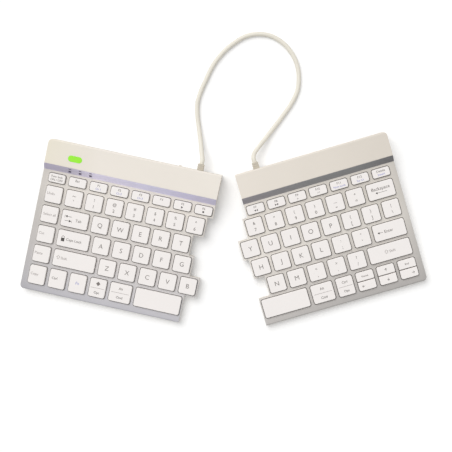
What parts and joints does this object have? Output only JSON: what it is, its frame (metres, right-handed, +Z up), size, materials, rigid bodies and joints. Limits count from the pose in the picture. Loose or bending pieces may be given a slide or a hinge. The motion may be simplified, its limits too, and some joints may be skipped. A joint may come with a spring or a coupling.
{
  "type": "ergonomic split keyboard",
  "caption": "Flat split keyboard whose halves are tied by a short link cable, with low keys, a raised ridge along each rear edge and a bar underneath that tilts the deck.",
  "frame": {"origin": "on the desk, under the middle of the box round both halves without the cable", "axes": "+X to the right along the desk, +Y to the back, +Z up"},
  "size_m": [0.3726, 0.2694, 0.0189],
  "materials": {
    "top_case_plastic": "fine moulded grain",
    "bottom_case_plastic": "fine moulded grain",
    "left_band_film": "satin",
    "right_band_film": "satin",
    "guide_plastic": "moulded",
    "dome_silicone": "soft silicone",
    "membrane_film": "printed film",
    "circuit_board": "solder mask",
    "battery_foil": "crimped foil",
    "socket_steel": "drawn steel",
    "slider_plastic": "moulded",
    "lens_plastic": "clear lens",
    "gland_rubber": "moulded",
    "cable_jacket": "satin jacket",
    "foot_rubber": "matt",
    "screw_steel": "plated",
    "key_plastic": "fine satin"
  },
  "bodies": {
    "left_half": {"left_top_case": "top_case_plastic", "left_bottom_case": "bottom_case_plastic", "left_band": "left_band_film", "left_key_guide": "guide_plastic", "left_dome_sheet": "dome_silicone", "left_membrane": "membrane_film", "main_board": "circuit_board", "battery": "battery_foil", "charge_socket": "socket_steel", "indicator_lenses": "lens_plastic", "left_gland": "gland_rubber", "left_feet": "foot_rubber", "left_screws": "screw_steel", "link_cable": "cable_jacket"},
    "right_half": {"right_top_case": "top_case_plastic", "right_bottom_case": "bottom_case_plastic", "right_band": "right_band_film", "right_key_guide": "guide_plastic", "right_dome_sheet": "dome_silicone", "right_membrane": "membrane_film", "right_board": "circuit_board", "right_gland": "gland_rubber", "right_feet": "foot_rubber", "right_screws": "screw_steel"},
    "power_slider": {"power_slider": "slider_plastic"},
    "key_q": {"key_q": "key_plastic"},
    "key_w": {"key_w": "key_plastic"},
    "key_e": {"key_e": "key_plastic"},
    "key_r": {"key_r": "key_plastic"},
    "key_t": {"key_t": "key_plastic"},
    "key_a": {"key_a": "key_plastic"},
    "key_s": {"key_s": "key_plastic"},
    "key_d": {"key_d": "key_plastic"},
    "key_f": {"key_f": "key_plastic"},
    "key_g": {"key_g": "key_plastic"},
    "key_z": {"key_z": "key_plastic"},
    "key_x": {"key_x": "key_plastic"},
    "key_c": {"key_c": "key_plastic"},
    "key_v": {"key_v": "key_plastic"},
    "key_b": {"key_b": "key_plastic"},
    "left_space_key": {"left_space_key": "key_plastic"},
    "left_function_keys": {"left_function_keys": "key_plastic"},
    "left_number_keys": {"left_number_keys": "key_plastic"},
    "left_command_keys": {"left_command_keys": "key_plastic"},
    "key_y": {"key_y": "key_plastic"},
    "key_u": {"key_u": "key_plastic"},
    "key_i": {"key_i": "key_plastic"},
    "key_o": {"key_o": "key_plastic"},
    "key_p": {"key_p": "key_plastic"},
    "key_h": {"key_h": "key_plastic"},
    "key_j": {"key_j": "key_plastic"},
    "key_k": {"key_k": "key_plastic"},
    "key_l": {"key_l": "key_plastic"},
    "key_n": {"key_n": "key_plastic"},
    "key_m": {"key_m": "key_plastic"},
    "right_space_key": {"right_space_key": "key_plastic"},
    "right_function_keys": {"right_function_keys": "key_plastic"},
    "right_symbol_keys": {"right_symbol_keys": "key_plastic"},
    "right_command_keys": {"right_command_keys": "key_plastic"},
    "arrow_keys": {"arrow_keys": "key_plastic"}
  },
  "joints": [
    {"name": "half_splay", "type": "hinge", "parent": "left_half", "child": "right_half", "pos_m": [0.00558, 0.07158, 0], "axis": [0, 0, 1], "range_deg": [-20, 20], "deforming": ["link_cable"]},
    {"name": "power_slide", "type": "slide", "parent": "left_half", "child": "power_slider", "axis": [0.9767, -0.2147, 0], "range_m": [0, 0.0025]},
    {"name": "key_q_press", "type": "slide", "parent": "left_half", "child": "key_q", "axis": [0.0093, 0.0424, -0.9991], "range_m": [0, 0.0016], "stiffness_N_per_m": 150, "springref_m": -0.001, "deforming": ["left_dome_sheet"]},
    {"name": "key_w_press", "type": "slide", "parent": "left_half", "child": "key_w", "axis": [0.0093, 0.0424, -0.9991], "range_m": [0, 0.0016], "stiffness_N_per_m": 150, "springref_m": -0.001, "deforming": ["left_dome_sheet"]},
    {"name": "key_e_press", "type": "slide", "parent": "left_half", "child": "key_e", "axis": [0.0093, 0.0424, -0.9991], "range_m": [0, 0.0016], "stiffness_N_per_m": 150, "springref_m": -0.001, "deforming": ["left_dome_sheet"]},
    {"name": "key_r_press", "type": "slide", "parent": "left_half", "child": "key_r", "axis": [0.0093, 0.0424, -0.9991], "range_m": [0, 0.0016], "stiffness_N_per_m": 150, "springref_m": -0.001, "deforming": ["left_dome_sheet"]},
    {"name": "key_t_press", "type": "slide", "parent": "left_half", "child": "key_t", "axis": [0.0093, 0.0424, -0.9991], "range_m": [0, 0.0016], "stiffness_N_per_m": 150, "springref_m": -0.001, "deforming": ["left_dome_sheet"]},
    {"name": "key_a_press", "type": "slide", "parent": "left_half", "child": "key_a", "axis": [0.0093, 0.0424, -0.9991], "range_m": [0, 0.0016], "stiffness_N_per_m": 150, "springref_m": -0.001, "deforming": ["left_dome_sheet"]},
    {"name": "key_s_press", "type": "slide", "parent": "left_half", "child": "key_s", "axis": [0.0093, 0.0424, -0.9991], "range_m": [0, 0.0016], "stiffness_N_per_m": 150, "springref_m": -0.001, "deforming": ["left_dome_sheet"]},
    {"name": "key_d_press", "type": "slide", "parent": "left_half", "child": "key_d", "axis": [0.0093, 0.0424, -0.9991], "range_m": [0, 0.0016], "stiffness_N_per_m": 150, "springref_m": -0.001, "deforming": ["left_dome_sheet"]},
    {"name": "key_f_press", "type": "slide", "parent": "left_half", "child": "key_f", "axis": [0.0093, 0.0424, -0.9991], "range_m": [0, 0.0016], "stiffness_N_per_m": 150, "springref_m": -0.001, "deforming": ["left_dome_sheet"]},
    {"name": "key_g_press", "type": "slide", "parent": "left_half", "child": "key_g", "axis": [0.0093, 0.0424, -0.9991], "range_m": [0, 0.0016], "stiffness_N_per_m": 150, "springref_m": -0.001, "deforming": ["left_dome_sheet"]},
    {"name": "key_z_press", "type": "slide", "parent": "left_half", "child": "key_z", "axis": [0.0093, 0.0424, -0.9991], "range_m": [0, 0.0016], "stiffness_N_per_m": 150, "springref_m": -0.001, "deforming": ["left_dome_sheet"]},
    {"name": "key_x_press", "type": "slide", "parent": "left_half", "child": "key_x", "axis": [0.0093, 0.0424, -0.9991], "range_m": [0, 0.0016], "stiffness_N_per_m": 150, "springref_m": -0.001, "deforming": ["left_dome_sheet"]},
    {"name": "key_c_press", "type": "slide", "parent": "left_half", "child": "key_c", "axis": [0.0093, 0.0424, -0.9991], "range_m": [0, 0.0016], "stiffness_N_per_m": 150, "springref_m": -0.001, "deforming": ["left_dome_sheet"]},
    {"name": "key_v_press", "type": "slide", "parent": "left_half", "child": "key_v", "axis": [0.0093, 0.0424, -0.9991], "range_m": [0, 0.0016], "stiffness_N_per_m": 150, "springref_m": -0.001, "deforming": ["left_dome_sheet"]},
    {"name": "key_b_press", "type": "slide", "parent": "left_half", "child": "key_b", "axis": [0.0093, 0.0424, -0.9991], "range_m": [0, 0.0016], "stiffness_N_per_m": 150, "springref_m": -0.001, "deforming": ["left_dome_sheet"]},
    {"name": "left_space_key_press", "type": "slide", "parent": "left_half", "child": "left_space_key", "axis": [0.0093, 0.0424, -0.9991], "range_m": [0, 0.0016], "stiffness_N_per_m": 150, "springref_m": -0.001, "deforming": ["left_dome_sheet"]},
    {"name": "left_function_keys_press", "type": "slide", "parent": "left_half", "child": "left_function_keys", "axis": [0.0093, 0.0424, -0.9991], "range_m": [0, 0.0016], "stiffness_N_per_m": 1200, "springref_m": -0.001, "deforming": ["left_dome_sheet"]},
    {"name": "left_number_keys_press", "type": "slide", "parent": "left_half", "child": "left_number_keys", "axis": [0.0093, 0.0424, -0.9991], "range_m": [0, 0.0016], "stiffness_N_per_m": 1050, "springref_m": -0.001, "deforming": ["left_dome_sheet"]},
    {"name": "left_command_keys_press", "type": "slide", "parent": "left_half", "child": "left_command_keys", "axis": [0.0093, 0.0424, -0.9991], "range_m": [0, 0.0016], "stiffness_N_per_m": 1800, "springref_m": -0.001, "deforming": ["left_dome_sheet"]},
    {"name": "key_y_press", "type": "slide", "parent": "right_half", "child": "key_y", "axis": [-0.012, 0.0418, -0.9991], "range_m": [0, 0.0016], "stiffness_N_per_m": 150, "springref_m": -0.001, "deforming": ["right_dome_sheet"]},
    {"name": "key_u_press", "type": "slide", "parent": "right_half", "child": "key_u", "axis": [-0.012, 0.0418, -0.9991], "range_m": [0, 0.0016], "stiffness_N_per_m": 150, "springref_m": -0.001, "deforming": ["right_dome_sheet"]},
    {"name": "key_i_press", "type": "slide", "parent": "right_half", "child": "key_i", "axis": [-0.012, 0.0418, -0.9991], "range_m": [0, 0.0016], "stiffness_N_per_m": 150, "springref_m": -0.001, "deforming": ["right_dome_sheet"]},
    {"name": "key_o_press", "type": "slide", "parent": "right_half", "child": "key_o", "axis": [-0.012, 0.0418, -0.9991], "range_m": [0, 0.0016], "stiffness_N_per_m": 150, "springref_m": -0.001, "deforming": ["right_dome_sheet"]},
    {"name": "key_p_press", "type": "slide", "parent": "right_half", "child": "key_p", "axis": [-0.012, 0.0418, -0.9991], "range_m": [0, 0.0016], "stiffness_N_per_m": 150, "springref_m": -0.001, "deforming": ["right_dome_sheet"]},
    {"name": "key_h_press", "type": "slide", "parent": "right_half", "child": "key_h", "axis": [-0.012, 0.0418, -0.9991], "range_m": [0, 0.0016], "stiffness_N_per_m": 150, "springref_m": -0.001, "deforming": ["right_dome_sheet"]},
    {"name": "key_j_press", "type": "slide", "parent": "right_half", "child": "key_j", "axis": [-0.012, 0.0418, -0.9991], "range_m": [0, 0.0016], "stiffness_N_per_m": 150, "springref_m": -0.001, "deforming": ["right_dome_sheet"]},
    {"name": "key_k_press", "type": "slide", "parent": "right_half", "child": "key_k", "axis": [-0.012, 0.0418, -0.9991], "range_m": [0, 0.0016], "stiffness_N_per_m": 150, "springref_m": -0.001, "deforming": ["right_dome_sheet"]},
    {"name": "key_l_press", "type": "slide", "parent": "right_half", "child": "key_l", "axis": [-0.012, 0.0418, -0.9991], "range_m": [0, 0.0016], "stiffness_N_per_m": 150, "springref_m": -0.001, "deforming": ["right_dome_sheet"]},
    {"name": "key_n_press", "type": "slide", "parent": "right_half", "child": "key_n", "axis": [-0.012, 0.0418, -0.9991], "range_m": [0, 0.0016], "stiffness_N_per_m": 150, "springref_m": -0.001, "deforming": ["right_dome_sheet"]},
    {"name": "key_m_press", "type": "slide", "parent": "right_half", "child": "key_m", "axis": [-0.012, 0.0418, -0.9991], "range_m": [0, 0.0016], "stiffness_N_per_m": 150, "springref_m": -0.001, "deforming": ["right_dome_sheet"]},
    {"name": "right_space_key_press", "type": "slide", "parent": "right_half", "child": "right_space_key", "axis": [-0.012, 0.0418, -0.9991], "range_m": [0, 0.0016], "stiffness_N_per_m": 150, "springref_m": -0.001, "deforming": ["right_dome_sheet"]},
    {"name": "right_function_keys_press", "type": "slide", "parent": "right_half", "child": "right_function_keys", "axis": [-0.012, 0.0418, -0.9991], "range_m": [0, 0.0016], "stiffness_N_per_m": 1050, "springref_m": -0.001, "deforming": ["right_dome_sheet"]},
    {"name": "right_symbol_keys_press", "type": "slide", "parent": "right_half", "child": "right_symbol_keys", "axis": [-0.012, 0.0418, -0.9991], "range_m": [0, 0.0016], "stiffness_N_per_m": 2100, "springref_m": -0.001, "deforming": ["right_dome_sheet"]},
    {"name": "right_command_keys_press", "type": "slide", "parent": "right_half", "child": "right_command_keys", "axis": [-0.012, 0.0418, -0.9991], "range_m": [0, 0.0016], "stiffness_N_per_m": 750, "springref_m": -0.001, "deforming": ["right_dome_sheet"]},
    {"name": "arrow_keys_press", "type": "slide", "parent": "right_half", "child": "arrow_keys", "axis": [-0.012, 0.0418, -0.9991], "range_m": [0, 0.0016], "stiffness_N_per_m": 900, "springref_m": -0.001, "deforming": ["right_dome_sheet"]}
  ]
}
